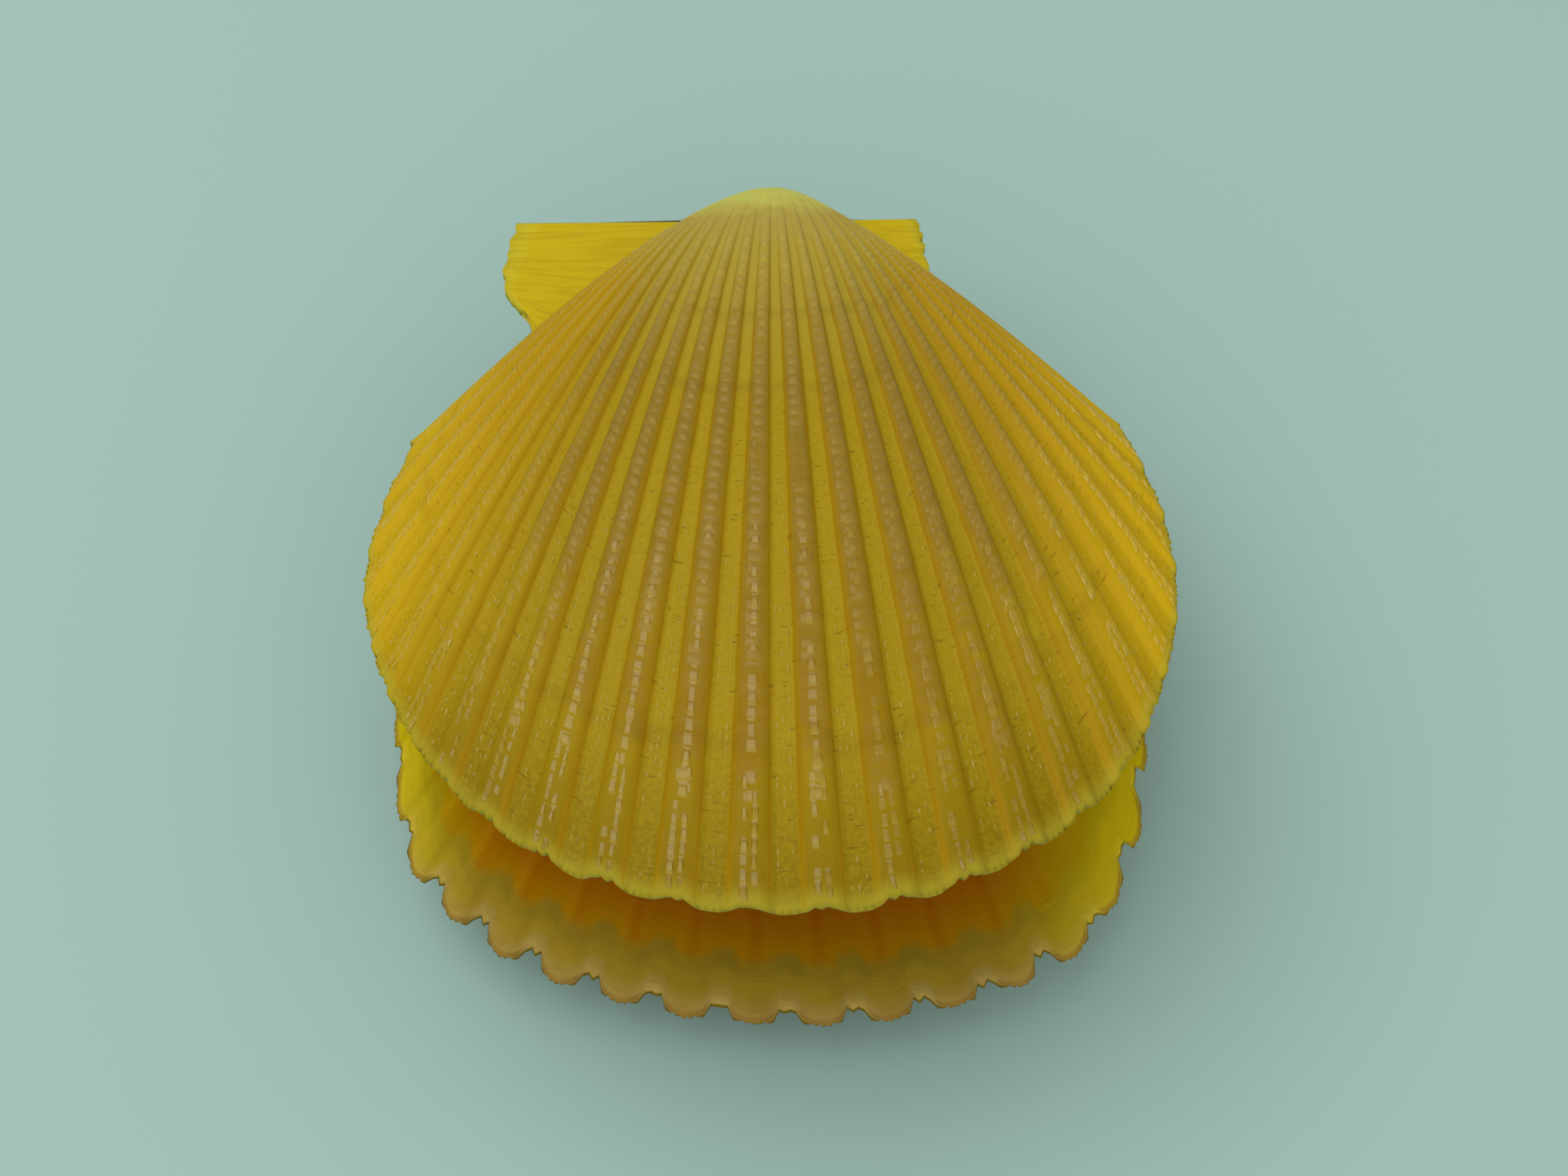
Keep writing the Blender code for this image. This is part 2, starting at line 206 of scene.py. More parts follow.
class OutsideColours(bpy.types.PropertyGroup):
    """Colours of the valves' outside and ears."""

    umbo_cap: tint("Umbo cap", "Pale lemon of the youngest shell", "#c5c152")
    umbo_ring: tint("Umbo ring", "Mauve brown ring round the cap", "#ae9840")
    rib_young: tint("Rib, young", "Pale mauve of the ribs near the umbo", "#b0983a")
    rib_mauve: tint("Rib, mauve", "Mauve brown of the ribs when young", "#876d20")
    rib_tan: tint("Rib, tan", "Tan of the ribs when grown", "#8c6b08")
    rib_beige: tint("Rib, beige", "Paler patches on the ribs", "#937522")
    rib_lemon: tint("Rib, lemon", "Ribs near the umbo where they aren't tan", "#ad9a34")
    rib_gold: tint("Rib, gold", "Ribs near the margin where they aren't tan", "#9a7e06")
    edge_gold: tint("Edge", "Deeper gold of ribs and grooves at the margin", "#856c02")
    # The ribs' sides: partly their own orange, partly painted shade on the steep sides.
    slope_amber_and_shade: tint("Slope", "Saturated orange yellow of the ribs' sides", "#9b790a")
    groove_pale: tint("Groove, pale", "Grooves near the umbo", "#ae9e40")
    groove_lemon: tint("Groove, lemon", "Grooves near the margin", "#a08510")
    groove_grain: tint("Groove grain", "Paler grains in the grooves", "#b09a18")
    side_gold: tint("Sides", "Even gold of the shell's two sides", "#b69008")
    # Brighter gold of the sides near the margin is painted light: the lower flanks are coloured as
    # if more light fell on them.
    side_bright_lit: tint("Sides, grown", "Brighter gold of the sides near the margin", "#cca80e")
    growth_line: tint("Growth lines", "Brown of the growth arcs", "#66480f")
    hair: tint("Hair lines", "Dark hair lines in the grooves", "#5e3610")
    ear_root: tint("Ear root", "Orange of an ear where it meets the disc", "#a98204")
    # The ears' lemon is their own colour, brightened as painted light shining through the thin
    # ears.
    ear_lemon_and_light: tint("Ear", "Bright lemon of the ears", "#c4ac12")
    ear_rim: tint("Ear rim", "Paler edge of the ears", "#c4b428")
    ear_streak: tint("Ear streaks", "Orange streaks between the ears' riblets", "#ae8606")
    # The tips' paleness is partly wear and partly a painted glint.
    tip: tint("Scale tips", "Pale worn tips of pads and scales", "#b29820")


class UpperInsideColours(bpy.types.PropertyGroup):
    """Colours of the upper valve's inside and rim."""

    rim: tint("Rim", "Pale greenish rim", "#a89e2c")
    hollow: tint("Hollow", "Under the umbo", "#b08a3c")
    deep: tint("Deep", "Inside, short of half way out", "#8a5a08")
    middle: tint("Middle", "Inside, half way out", "#9a6a0a")
    gold: tint("Gold", "Inside, next to the band", "#a8860e")
    ray: tint("Rays", "Tone laid over the hollows between inner ribs", "#e0b890")
    band: tint("Band", "Dull band along the margin", "#94842c")
    band_patch: tint("Band patches", "Darker patches in the band", "#7f7030")
    band_edge_and_light: tint("Band edge", "Pale edge of the band", "#a89c50")
    end: tint("Ends", "Lemon at the two ends of the margin", "#a8901c")


class LowerInsideColours(bpy.types.PropertyGroup):
    """Colours of the lower valve's inside and rim."""

    rim: tint("Rim", "Thin reddish brown rim", "#84601e")
    hollow: tint("Hollow", "Under the umbo", "#b8863a")
    deep: tint("Deep", "Inside, short of half way out", "#983c00")
    middle: tint("Middle", "Inside, half way out", "#b15600")
    gold: tint("Gold", "Inside, next to the band", "#bc8600")
    ray: tint("Rays", "Tone laid over the hollows between inner ribs", "#dca878")
    band: tint("Band", "Dull band along the margin", "#a68c24")
    band_patch: tint("Band patches", "Darker patches in the band", "#93761f")
    # The pale edge is partly painted light shining through the thin margin.
    band_edge_and_light: tint("Band edge", "Pale edge of the band", "#b2984c")
    # The ends' lemon is partly painted light shining through the thin ends.
    end: tint("Ends", "Lemon at the two ends of the margin", "#d6c010")


class StageSettings(bpy.types.PropertyGroup):
    """Floor and light."""

    floor: tint("Floor", "Pale blue green floor", "#9ebdb5")
    sky: FloatProperty(name="Sky", description="Even light from all sides", default=0.62, min=0)
    key: FloatProperty(name="Key", description="Light from above and behind", default=1.1, min=0,
                       unit="POWER")
    fill: FloatProperty(name="Fill", description="Light from the front", default=0.5, min=0,
                        unit="POWER")


def smooth_curve(x, knots):
    """A cubic through the knots."""
    xs, ys = np.array(knots, float).T
    slopes = np.gradient(ys, xs)
    i = np.clip(np.searchsorted(xs, x) - 1, 0, len(xs) - 2)
    h = xs[i + 1] - xs[i]
    u = (x - xs[i]) / h
    return (
        (1 + 2 * u) * (1 - u) ** 2 * ys[i]
        + u * (1 - u) ** 2 * h * slopes[i]
        + u * u * (3 - 2 * u) * ys[i + 1]
        + u * u * (u - 1) * h * slopes[i + 1]
    )


def smooth_step(x, low, high):
    """0 below low and 1 above high, with an even slope between."""
    u = np.clip((x - low) / (high - low), 0, 1)
    return u * u * (3 - 2 * u)


def noise(x, seed):
    """Smooth noise from -1 to 1 along a line, the same on each run."""
    count = 4096
    values = np.random.default_rng(seed).uniform(-1, 1, count)
    i = np.floor(x).astype(int)
    u = x - i
    u = u * u * (3 - 2 * u)
    return values[i % count] * (1 - u) + values[(i + 1) % count] * u


def rib_angle(k):
    """Fan angle at a place counted in ribs. The half ribs at the two ends are turned outwards."""
    closer = np.where(k > 0, RIB_CLOSER_R, RIB_CLOSER_L)
    return (
        RIB_0 + RIB_STEP * k - np.sign(k) * closer * k * k
        + FIRST_TURNED_DEG * np.clip(FIRST_RIB + 0.5 - k, 0, 0.5) * 2
        + LAST_TURNED_DEG * np.clip(k - LAST_RIB + 0.5, 0, 0.5) * 2
    )


def from_rib(k):
    """How far a place is from the middle of its rib: 0 on the rib, 0.5 in the groove."""
    return np.abs(k - np.round(k))


def spiral_point(angle_deg, turn, valve):
    """The smooth valve under its ribs, in valve coordinates."""
    middle, left, right = valve["spiral"]
    flank = np.where(angle_deg < 0, FLANK_L_DEG, FLANK_R_DEG)
    tight = middle + np.where(angle_deg < 0, left, right) * (angle_deg / flank) ** 2
    radius = smooth_curve(angle_deg, valve["margin"]) * np.exp(-tight * turn)
    phi = np.radians(angle_deg)
    return np.stack((
        radius * np.sin(phi),
        radius * np.cos(phi) * np.cos(turn),
        radius * np.cos(phi) * np.sin(turn) + BASE_MM,
    ), -1)


def out_of_valve(angle_deg, turn, valve):
    """The direction straight out of the smooth valve, from two short steps on it."""
    a, t = 0.4, 0.01
    across = spiral_point(angle_deg + a, turn, valve) - spiral_point(angle_deg - a, turn, valve)
    along = spiral_point(angle_deg, turn - t, valve) - spiral_point(angle_deg, turn + t, valve)
    normal = np.cross(across, along)
    return normal / np.linalg.norm(normal, axis=-1, keepdims=True)


def grown(turn, valve):
    """Size of the young shell whose margin was at this turn: 0 at the beak, 1 at the margin."""
    return np.exp(-valve["spiral"][0] * turn)


def end_fade(k):
    """1 on the disc, down to 0 at its two ends."""
    return np.clip(np.minimum(k - FIRST_RIB, LAST_RIB - k) * END_FADE, 0, 1)


def rib_height(k, size, valve):
    """Height of a rib, in mm. The umbo is smooth, and the ribs sink towards the two sides."""
    umbo = smooth_step(size, UMBO_SMOOTH, UMBO_RIBBED)
    side = 1 - SIDE_FADE * smooth_step(np.abs(k), SIDE_FROM, SIDE_TO)
    return valve["rib"] * size ** RIB_TAPER * umbo * side * end_fade(k)


def rib_relief(place, size):
    """The rib pattern, 0 in the groove and 1 on the rib, with fine riblets between."""
    d = from_rib(place)
    rib = 1 - smooth_step(d, RIB_TOP, RIB_FOOT)
    crown = RIB_CROWN * (1 - np.clip(d / RIB_TOP, 0, 1) ** 2)
    riblet = RIBLET_SHARE * np.cos((0.5 - d) * 2 * np.pi / RIBLET_STEP)
    riblet = riblet * smooth_step(size, RIBLET_FROM, RIBLET_TO)
    return rib + crown + riblet * smooth_step(d, GROOVE_FROM, GROOVE_TO)


def margin_shift(k, place, turn, valve):
    """How far the margin's lobes and teeth stand out, in mm, measured from the smooth margin.

    The numbers added in the calls of noise only choose different stretches of it.
    """
    d = from_rib(place)
    near = np.clip(1 - turn / LOBE_TURN, 0, 1)
    fade = end_fade(k)
    swell = np.clip(1 - ((0.5 - d) / LOBE_HALF) ** 2, 0, 1) ** LOBE_ROUND
    lobe = valve["lobe"] * (swell - valve["lobe_level"])
    lobe = lobe * (1 + LOBE_UNEVEN * noise(k * 0.9 + 40, valve["seed"]))
    in_notch = 1 - smooth_step(d, NOTCH_FROM, NOTCH_TO)
    teeth = valve["teeth"] * in_notch * np.cos(place * 2 * np.pi / TOOTH_PITCH)
    nibbled = NIBBLED_MM * noise(k * 7.3 + 90, valve["seed"] + 1)
    worn = WORN_MM * noise(k * 0.33 + 60, valve["seed"] + 2)
    edge = np.clip(1 - turn / EDGE_TURN, 0, 1)
    return lobe * near * fade + (teeth * fade + nibbled + worn) * edge


def lobed_point(k, turn, valve):
    """Points of the smooth valve out to its lobed margin, their place in ribs and fan angle."""
    place, angle = k + valve["phase"], rib_angle(k)
    point = spiral_point(angle, turn, valve)
    shift = margin_shift(k, place, turn, valve)
    point[..., 0] += shift * np.sin(np.radians(angle))
    point[..., 1] += shift * np.cos(np.radians(angle))
    return point, place, angle


def outside_points(k, turn, lift, valve):
    """Points of the ribbed outside, raised by lift in mm."""
    point, place, angle = lobed_point(k, turn, valve)
    size = grown(turn, valve)
    relief = rib_height(k, size, valve) * (rib_relief(place, size) - 0.5) - SUNK_MM
    return point + (relief + lift)[..., None] * out_of_valve(angle, turn, valve)


def inside_points(k, turn, valve):
    """Points of the smoother inside, which is fluted only near the margin."""
    point, place, angle = lobed_point(k, turn, valve)
    size = grown(turn, valve)
    old = np.clip((size - FLUTE_FROM_SIZE) / (1 - FLUTE_FROM_SIZE), 0, 1)
    thick = np.minimum(1, BEAK_THICK + size * BEAK_THICKENS) - (1 - MARGIN_THICK) * old
    thick = THICK_MM * thick * (1 - valve["edge_thinner"] * np.clip(1 - turn / THIN_TURN, 0, 1))
    smooth_rib = 1 - smooth_step(from_rib(place), FLUTE_TOP, FLUTE_FOOT)
    depth = rib_height(k, size, valve) * (FLUTE_INSIDE * old * smooth_rib - 0.5) - thick
    return point + (depth - SUNK_MM)[..., None] * out_of_valve(angle, turn, valve)


def flank_and_ear(side, steps, row, turn, valve):
    """Points of the steep flank and the flat ear. steps count outwards from the disc's edge."""
    flank = np.full(turn.shape, FLANK_L_DEG if side < 0 else FLANK_R_DEG)
    top = spiral_point(flank, turn, valve)
    down = np.clip(steps / FLANK_COLUMNS, 0, 1)
    rise = top[..., 2] - BASE_MM
    out = (FOOT_LEAN * rise + FOOT_MIN_MM) * down * (1 + FLANK_BULGE - FLANK_BULGE * down)
    foot_z = BASE_MM + (EAR_Z_MM - BASE_MM) * np.minimum(1, rise / FLAT_RISE_MM)
    point = np.stack((
        top[..., 0] + side * out,
        np.maximum(top[..., 1] - out, HINGE_EDGE_MM + HINGE_ROW_MM * (row - 1)),
        top[..., 2] + (foot_z - top[..., 2]) * down * (FLANK_HANG + (1 - FLANK_HANG) * down),
    ), -1)
    edge = np.array(valve["ear_l" if side < 0 else "ear_r"])
    last = len(edge)
    rows = np.arange(1, last + 1)
    step = valve["ear_step"] * noise(
        row * EAR_STEPS_PER_ROW + 7, valve["seed"] + (3 if side < 0 else 4)
    )
    step = step * np.clip((row - 1) * 3, 0, 1) * np.clip((last - row) * EAR_SOFT_END, 0, 1)
    outer = np.stack((
        np.interp(row, rows, edge[:, 0]) + side * step - side * EAR_IN_MM,
        np.interp(row, rows, edge[:, 1]),
        np.full(row.shape, EAR_Z_MM),
    ), -1)
    share = np.clip((steps - FLANK_COLUMNS) / EAR_COLUMNS, 0, 1)
    point = point + (outer - point) * share[..., None]
    within = np.clip((row - 1) * 2, 0, 1) * np.clip((last - row) * 2, 0, 1)
    riblet = valve["ear_riblet"] * np.sin((row - 1) * 2 * np.pi)
    point[..., 2] += riblet * within * np.clip(share * 3, 0, 1)
    return point, share


def to_world(point, valve):
    """From valve coordinates in mm to the world in metres: the gape, then the lean at rest."""
    gape, lean = math.radians(valve["gape"]), math.radians(REST_TILT_DEG)
    x, y, z = point[..., 0], point[..., 1], point[..., 2] * valve["up"]
    y, z = y * math.cos(gape) - z * math.sin(gape), y * math.sin(gape) + z * math.cos(gape)
    y, z = y * math.cos(lean) + z * math.sin(lean), z * math.cos(lean) - y * math.sin(lean)
    return np.stack(((x - ORIGIN_X_MM), (ORIGIN_Y_MM - y), (z + REST_LIFT_MM)), -1) * MM


def sheet_rows():
    """The turn at each row of the fine sheet, and that row's place between the coarse rows."""
    turns, rows = [TURNS[0]], [0.0]
    for i, count in enumerate(ROWS_BETWEEN):
        for j in range(1, count + 1):
            turns.append(TURNS[i] + (TURNS[i + 1] - TURNS[i]) * j / count)
            rows.append(i + j / count)
    return np.array(turns), np.array(rows)


def sheet_columns(phase):
    """Where the disc's columns stand, counted in ribs."""
    ribs = range(math.floor(FIRST_RIB) - 1, math.ceil(LAST_RIB) + 2)
    places = sorted(rib + step - phase for rib in ribs for step in RIB_COLUMNS)
    room = 0.03
    inside = [k for k in places if FIRST_RIB + room < k < LAST_RIB - room]
    return np.array([FIRST_RIB, *inside, LAST_RIB])


def finished(name, made):
    """The object of a finished bmesh."""
    mesh = bpy.data.meshes.new(name)
    made.to_mesh(mesh)
    made.free()
    piece = bpy.data.objects.new(name, mesh)
    bpy.context.scene.collection.objects.link(piece)
    return piece


def mapped_wall(name, columns, steps, unwanted, outer, inner, values, smooth=True):
    """A closed wall: a grid without its unwanted faces, mapped to outer, with its back at inner.

    values holds what the finishes read, for each grid point, by the name of its layer.
    """
    sheet = bmesh.new()
    bmesh.ops.create_grid(sheet, x_segments=columns, y_segments=steps, size=1.0)
    at = sheet.verts.layers.int.new("place")
    back = sheet.verts.layers.float.new("inside")
    layers = {sheet.verts.layers.float.new(key): value.ravel() for key, value in values.items()}
    extra = []
    for face in sheet.faces:
        middle = face.calc_center_median()
        if unwanted(int((middle.x + 1) / 2 * columns), int((middle.y + 1) / 2 * steps)):
            extra.append(face)
    bmesh.ops.delete(sheet, geom=extra, context="FACES")
    front_points, back_points = outer.reshape(-1, 3), inner.reshape(-1, 3)
    for vertex in sheet.verts:
        row, column = round((vertex.co.y + 1) / 2 * steps), round((vertex.co.x + 1) / 2 * columns)
        vertex[at] = row * (columns + 1) + column
        vertex.co = front_points[vertex[at]]
    bmesh.ops.remove_doubles(sheet, verts=sheet.verts, dist=1e-3 * MM)
    wall = bmesh.ops.extrude_face_region(sheet, geom=sheet.faces[:], use_keep_orig=True)["geom"]
    for item in wall:
        if isinstance(item, bmesh.types.BMVert):
            item.co = back_points[item[at]]
            item[back] = 1.0
    bmesh.ops.recalc_face_normals(sheet, faces=sheet.faces)
    for vertex in sheet.verts:
        for layer, value in layers.items():
            vertex[layer] = value[vertex[at]]
    for face in sheet.faces:
        face.smooth = smooth
    return finished(name, sheet)


def valve_shell(name, valve):
    """One valve as a closed wall mapped onto the spiral, with its flanks and ears."""
    turns, rows = sheet_rows()
    places = sheet_columns(valve["phase"])
    disc, side_columns = len(places) - 1, FLANK_COLUMNS + EAR_COLUMNS
    columns, steps = disc + 2 * side_columns, len(turns) - 1
    j = np.arange(columns + 1)
    turn, row = (np.repeat(v[:, None], columns + 1, axis=1) for v in (turns, rows))
    column = np.repeat(j[None, :], steps + 1, axis=0)

    k_at = np.interp(column, np.arange(side_columns, side_columns + disc + 1), places)
    outer = outside_points(k_at, turn, np.zeros(turn.shape), valve)
    inner = inside_points(k_at, turn, valve)
    ear = np.zeros(turn.shape)
    for side, edge in ((-1, side_columns), (1, side_columns + disc)):
        out = (column - edge) * side
        here = out >= 0
        point, share = flank_and_ear(side, out, row, turn, valve)
        outer[here] = point[here]
        at_foot = np.clip(out / FLANK_COLUMNS, 0, 1)[here]
        ear[here] = at_foot * FLANK_SHARE + share[here] * (1 - FLANK_SHARE)
    pole = np.array((0.0, HINGE_EDGE_MM, EAR_Z_MM))
    first = row < 1
    at_first = outer[ROWS_BETWEEN[0]][None].repeat(steps + 1, axis=0)
    outer[first] = (pole + (at_first - pole) * row[..., None])[first]

    normal = np.cross(np.gradient(outer, axis=1), np.gradient(outer, axis=0))
    size_of = np.linalg.norm(normal, axis=-1, keepdims=True)
    normal = normal / np.where(size_of > 0, size_of, 1)
    normal = np.where(ear[..., None] > FLANK_SHARE, (0.0, 0.0, 1.0), normal)
    on_disc = (column > side_columns) & (column < side_columns + disc) & (row >= 1)
    size = grown(turn, valve)
    thick = np.where(row > EAR_FULL_ROW, EAR_THICK, HINGE_THICK) * THICK_MM
    thin_beak = np.maximum(np.minimum(1, BEAK_THICK + size * BEAK_THICKENS), THIN_LEAST)
    thick = np.where(row < BEAK_ROW, BEAK_THICK * THICK_MM, thick * thin_beak)
    inner = np.where(on_disc[..., None], inner, outer - normal * thick[..., None])
    outer, inner = (np.clip(to_world(p, valve), *SOLID_BOX) for p in (outer, inner))

    ear_rows = {-1: len(valve["ear_l"]), 1: len(valve["ear_r"])}

    def beyond_ear(at_column, at_row):
        side = -1 if at_column < EAR_COLUMNS else 1 if at_column >= columns - EAR_COLUMNS else 0
        return side and (rows[at_row] < 1 or rows[at_row + 1] > ear_rows[side] + 1e-6)

    values = {"rib": k_at + valve["phase"], "growth": size, "ear": ear}
    return mapped_wall(name, columns, steps, beyond_ear, outer, inner, values)


def scale_rows(name, valve, lines, sizes, pitch_mm, profile):
    """Rows of scales along a valve: one sheet whose strips are mapped onto the valve's outside.

    lines holds, for each row, its place in ribs and its half width. profile gives a scale's
    height, in mm, from its place across (-1 to 1) and along (0 to 1) and its growth. A bevel
    below 1 draws a scale's inner edges outwards, which gives it a flat top with sharp edges.
    """
    across, along = profile["across"], profile["along"]
    first, last = sizes
    units = round((last - first) * UMBO_TO_MARGIN_MM / pitch_mm)
    columns, steps = len(lines) * (across + 1) - 1, units * (along + 1) - 1
    column = np.arange(columns + 1)[None, :].repeat(steps + 1, axis=0)
    step = np.arange(steps + 1)[:, None].repeat(columns + 1, axis=1)
    line, unit = column // (across + 1), step // (along + 1)
    u, v = (column % (across + 1)) / across * 2 - 1, (step % (along + 1)) / along * 2 - 1
    u, v = (np.sign(w) * np.abs(w) ** profile["bevel"] for w in (u, v))
    v = (v + 1) / 2
    random = np.random.default_rng(valve["seed"] + profile["seed"])
    chance = random.uniform(-1, 1, (6, len(lines), units))
    centre, half = np.array(lines).T
    room = 1 - 2 * profile["slip"] - SCALE_ROOM
    at = unit + 0.5 + (v - 0.5) * room + profile["slip"] * chance[0][line, unit]
    size = first + (last - first) * at / units
    size = np.clip(size * (1 + RING_UNEVEN * chance[1][line, 0]), YOUNGEST, OLDEST)
    wide = half[line] * (1 + profile["vary"] * chance[2][line, unit]) * profile["spread"](v)
    place = centre[line] + chance[3][line, unit] * half[line] * ASIDE + u * wide
    k = place - valve["phase"]
    turn = -np.log(size) / valve["spiral"][0]
    rise = profile["height"](u, v, size) * (1 + profile["uneven"] * chance[4][line, unit])
    rise = rise * (1 + profile["tilt"] * chance[1][line, unit] * (v - 0.5))
    present = chance[5][line, unit] * 0.5 + 0.5 < profile["present"](size)
    lift = np.where(present, rise, 0) * np.clip(end_fade(k) * 3, 0, 1) - SEATED_MM
    top, under, buried = (
        to_world(outside_points(k, turn, np.broadcast_to(up, k.shape), valve), valve)
        for up in (lift, -UNDER_MM, -BURIED_MM)
    )
    low, high = SOLID_BOX
    outside = np.any((top <= np.array(low)) | (top >= np.array(high)), axis=-1)
    top = np.where(outside[..., None], buried, top)
    top, under = np.clip(top, low, high), np.clip(under, low, high)
    values = {
        "rib": place, "growth": size, "tip": v * np.ones(u.shape), "scale": chance[4][line, unit],
    }
    return mapped_wall(
        name, columns, steps, lambda at_column, _: at_column % (across + 1) == across,
        top, under, values, profile["bevel"] == 1,
    )


def add(tree, kind, inputs=None, out=0, stops=None, **settings):
    """One node with its settings and links. It gives back the output that the next node takes."""
    made = tree.nodes.new("ShaderNode" + kind)
    for name, value in settings.items():
        setattr(made, name, value)
    if stops:
        ramp = made.color_ramp
        ramp.elements[0].position, ramp.elements[-1].position = stops[0][0], stops[-1][0]
        for position, _ in stops[1:-1]:
            ramp.elements.new(position)
        for element, (_, colour) in zip(ramp.elements, stops):
            element.color = (colour,) * 3 + (1,) if isinstance(colour, float) else tuple(colour)
    for name, value in (inputs or {}).items():
        if isinstance(value, bpy.types.NodeSocket):
            tree.links.new(value, made.inputs[name])
        else:
            made.inputs[name].default_value = value
    return made.outputs[out]


SOFT = {"interpolation_type": "SMOOTHSTEP"}
COLOUR_MIX = {"out": 2, "data_type": "RGBA"}


def outside_colour(node, look):
    """Colour of a scallop's outside by rib and growth, and the masks that it is made of.

    Here and below, figures set against size are growth, from 0 at the umbo to 1 at the margin,
    and figures set against d are rib steps from the middle of a rib.
    """
    tone = look["outside"]
    k = node("Attribute", attribute_name="rib", out="Fac")
    size = node("Attribute", attribute_name="growth", out="Fac")
    spot = node("TexCoord", out="Object")
    broad, patch, grain = (
        node("TexNoise", {"Vector": spot, "Scale": per_mm / MM, "Detail": detail})
        for per_mm, detail in ((BROAD_PER_MM, 2.0), (PATCH_PER_MM, 3.0), (GRAIN_PER_MM, 2.0))
    )
    uneven = node("Math", {0: patch, 1: 0.5}, operation="SUBTRACT")
    waver = node("Math", {0: uneven, 1: 0.08}, operation="MULTIPLY")
    d = node("Math", {0: node("Math", {0: k, 1: waver}), 1: 0.5}, operation="PINGPONG")
    across = node("Math", {0: k, 1: 1.3}, operation="MULTIPLY")
    along = node("Math", {0: size, 1: UMBO_TO_MARGIN_MM / TILE_MM}, operation="MULTIPLY")
    tile = node("TexNoise", {"Vector": node("CombineXYZ", {0: across, 1: along}), "Scale": 1.0})

    aside = node("Math", {0: k, 1: look["tan_middle"]}, operation="SUBTRACT")
    spread = node("Math", {0: aside, 1: aside}, operation="MULTIPLY")
    reach = node("Math", {0: spread, 1: TAN_FALL, 2: TAN_REACH}, operation="MULTIPLY_ADD")
    far = node("Math", {0: broad, 1: 0.5}, operation="SUBTRACT")
    wander = node("Math", {0: far, 1: 0.6, 2: reach}, operation="MULTIPLY_ADD")
    blotch = node("Math", {0: tile, 1: 0.5}, operation="SUBTRACT")
    wander = node("Math", {0: blotch, 1: 0.3, 2: wander}, operation="MULTIPLY_ADD")
    past = node("Math", {0: size, 1: wander}, operation="SUBTRACT")
    tan = node("MapRange", {"Value": past, "From Min": -0.12, "From Max": 0.12, "To Min": 1.0,
                            "To Max": 0.0}, **SOFT)
    crest = node("MapRange", {"Value": d, "From Min": 0.18, "From Max": 0.27, "To Min": 1.0,
                              "To Max": 0.0}, **SOFT)
    groove = node("MapRange", {"Value": d, "From Min": 0.28, "From Max": 0.335}, **SOFT)

    mauve = node("ValToRGB", {"Fac": size},
                 stops=((0.25, tone.rib_young), (0.48, tone.rib_mauve), (0.8, tone.rib_tan)))
    pale = node("MapRange", {"Value": tile, "From Min": 0.35, "From Max": 0.68, "To Max": 0.8})
    beige = node("Mix", {0: pale, 6: mauve, 7: tone.rib_beige}, **COLOUR_MIX)
    gold = node("ValToRGB", {"Fac": size}, stops=(
        (0.1, tone.rib_lemon), (0.5, tone.rib_gold), (0.84, tone.rib_gold), (0.97, tone.edge_gold),
    ))
    rib = node("Mix", {0: tan, 6: gold, 7: beige}, **COLOUR_MIX)
    lemon = node("ValToRGB", {"Fac": size},
                 stops=((0.15, tone.groove_pale), (0.5, tone.groove_lemon),
                        (0.84, tone.groove_lemon), (0.97, tone.edge_gold)))
    fleck = node("MapRange", {"Value": grain, "From Min": 0.35, "From Max": 0.75, "To Max": 0.35})
    lemon = node("Mix", {0: fleck, 6: lemon, 7: tone.groove_grain}, **COLOUR_MIX)
    # The ribs' sides in amber: partly their own colour, partly painted shade on the steep sides.
    outer = node("Mix", {0: crest, 6: tone.slope_amber_and_shade, 7: rib}, **COLOUR_MIX)
    outer = node("Mix", {0: groove, 6: outer, 7: lemon}, **COLOUR_MIX)
    off = node("Math", {0: k}, operation="ABSOLUTE")
    beside = node("MapRange", {"Value": off, "From Min": 4.2, "From Max": 9.0, "To Max": 0.78},
                  **SOFT)
    # Towards the margin the sides turn brighter gold, which is painted light on the lower flanks.
    side = node("ValToRGB", {"Fac": size}, stops=((0.62, tone.side_gold), (0.93, tone.side_bright_lit)))
    outer = node("Mix", {0: beside, 6: outer, 7: side}, **COLOUR_MIX)
    age = node("Math", {0: uneven, 1: 0.07, 2: size}, operation="MULTIPLY_ADD")
    umbo = node("ValToRGB", {"Fac": age}, stops=(
        (0.0, tone.umbo_cap), (0.155, tone.umbo_cap), (0.205, tone.umbo_ring),
        (0.22, tone.umbo_ring), (0.28, tone.rib_lemon),
    ))
    near = node("MapRange", {"Value": size, "From Min": 0.18, "From Max": 0.42, "To Min": 0.92,
                             "To Max": 0.0}, **SOFT)
    outer = node("Mix", {0: near, 6: outer, 7: umbo}, **COLOUR_MIX)
    return {"k": k, "size": size, "d": d, "off": off, "outer": outer, "patch": patch,
            "grain": grain, "broad": broad, "uneven": uneven}


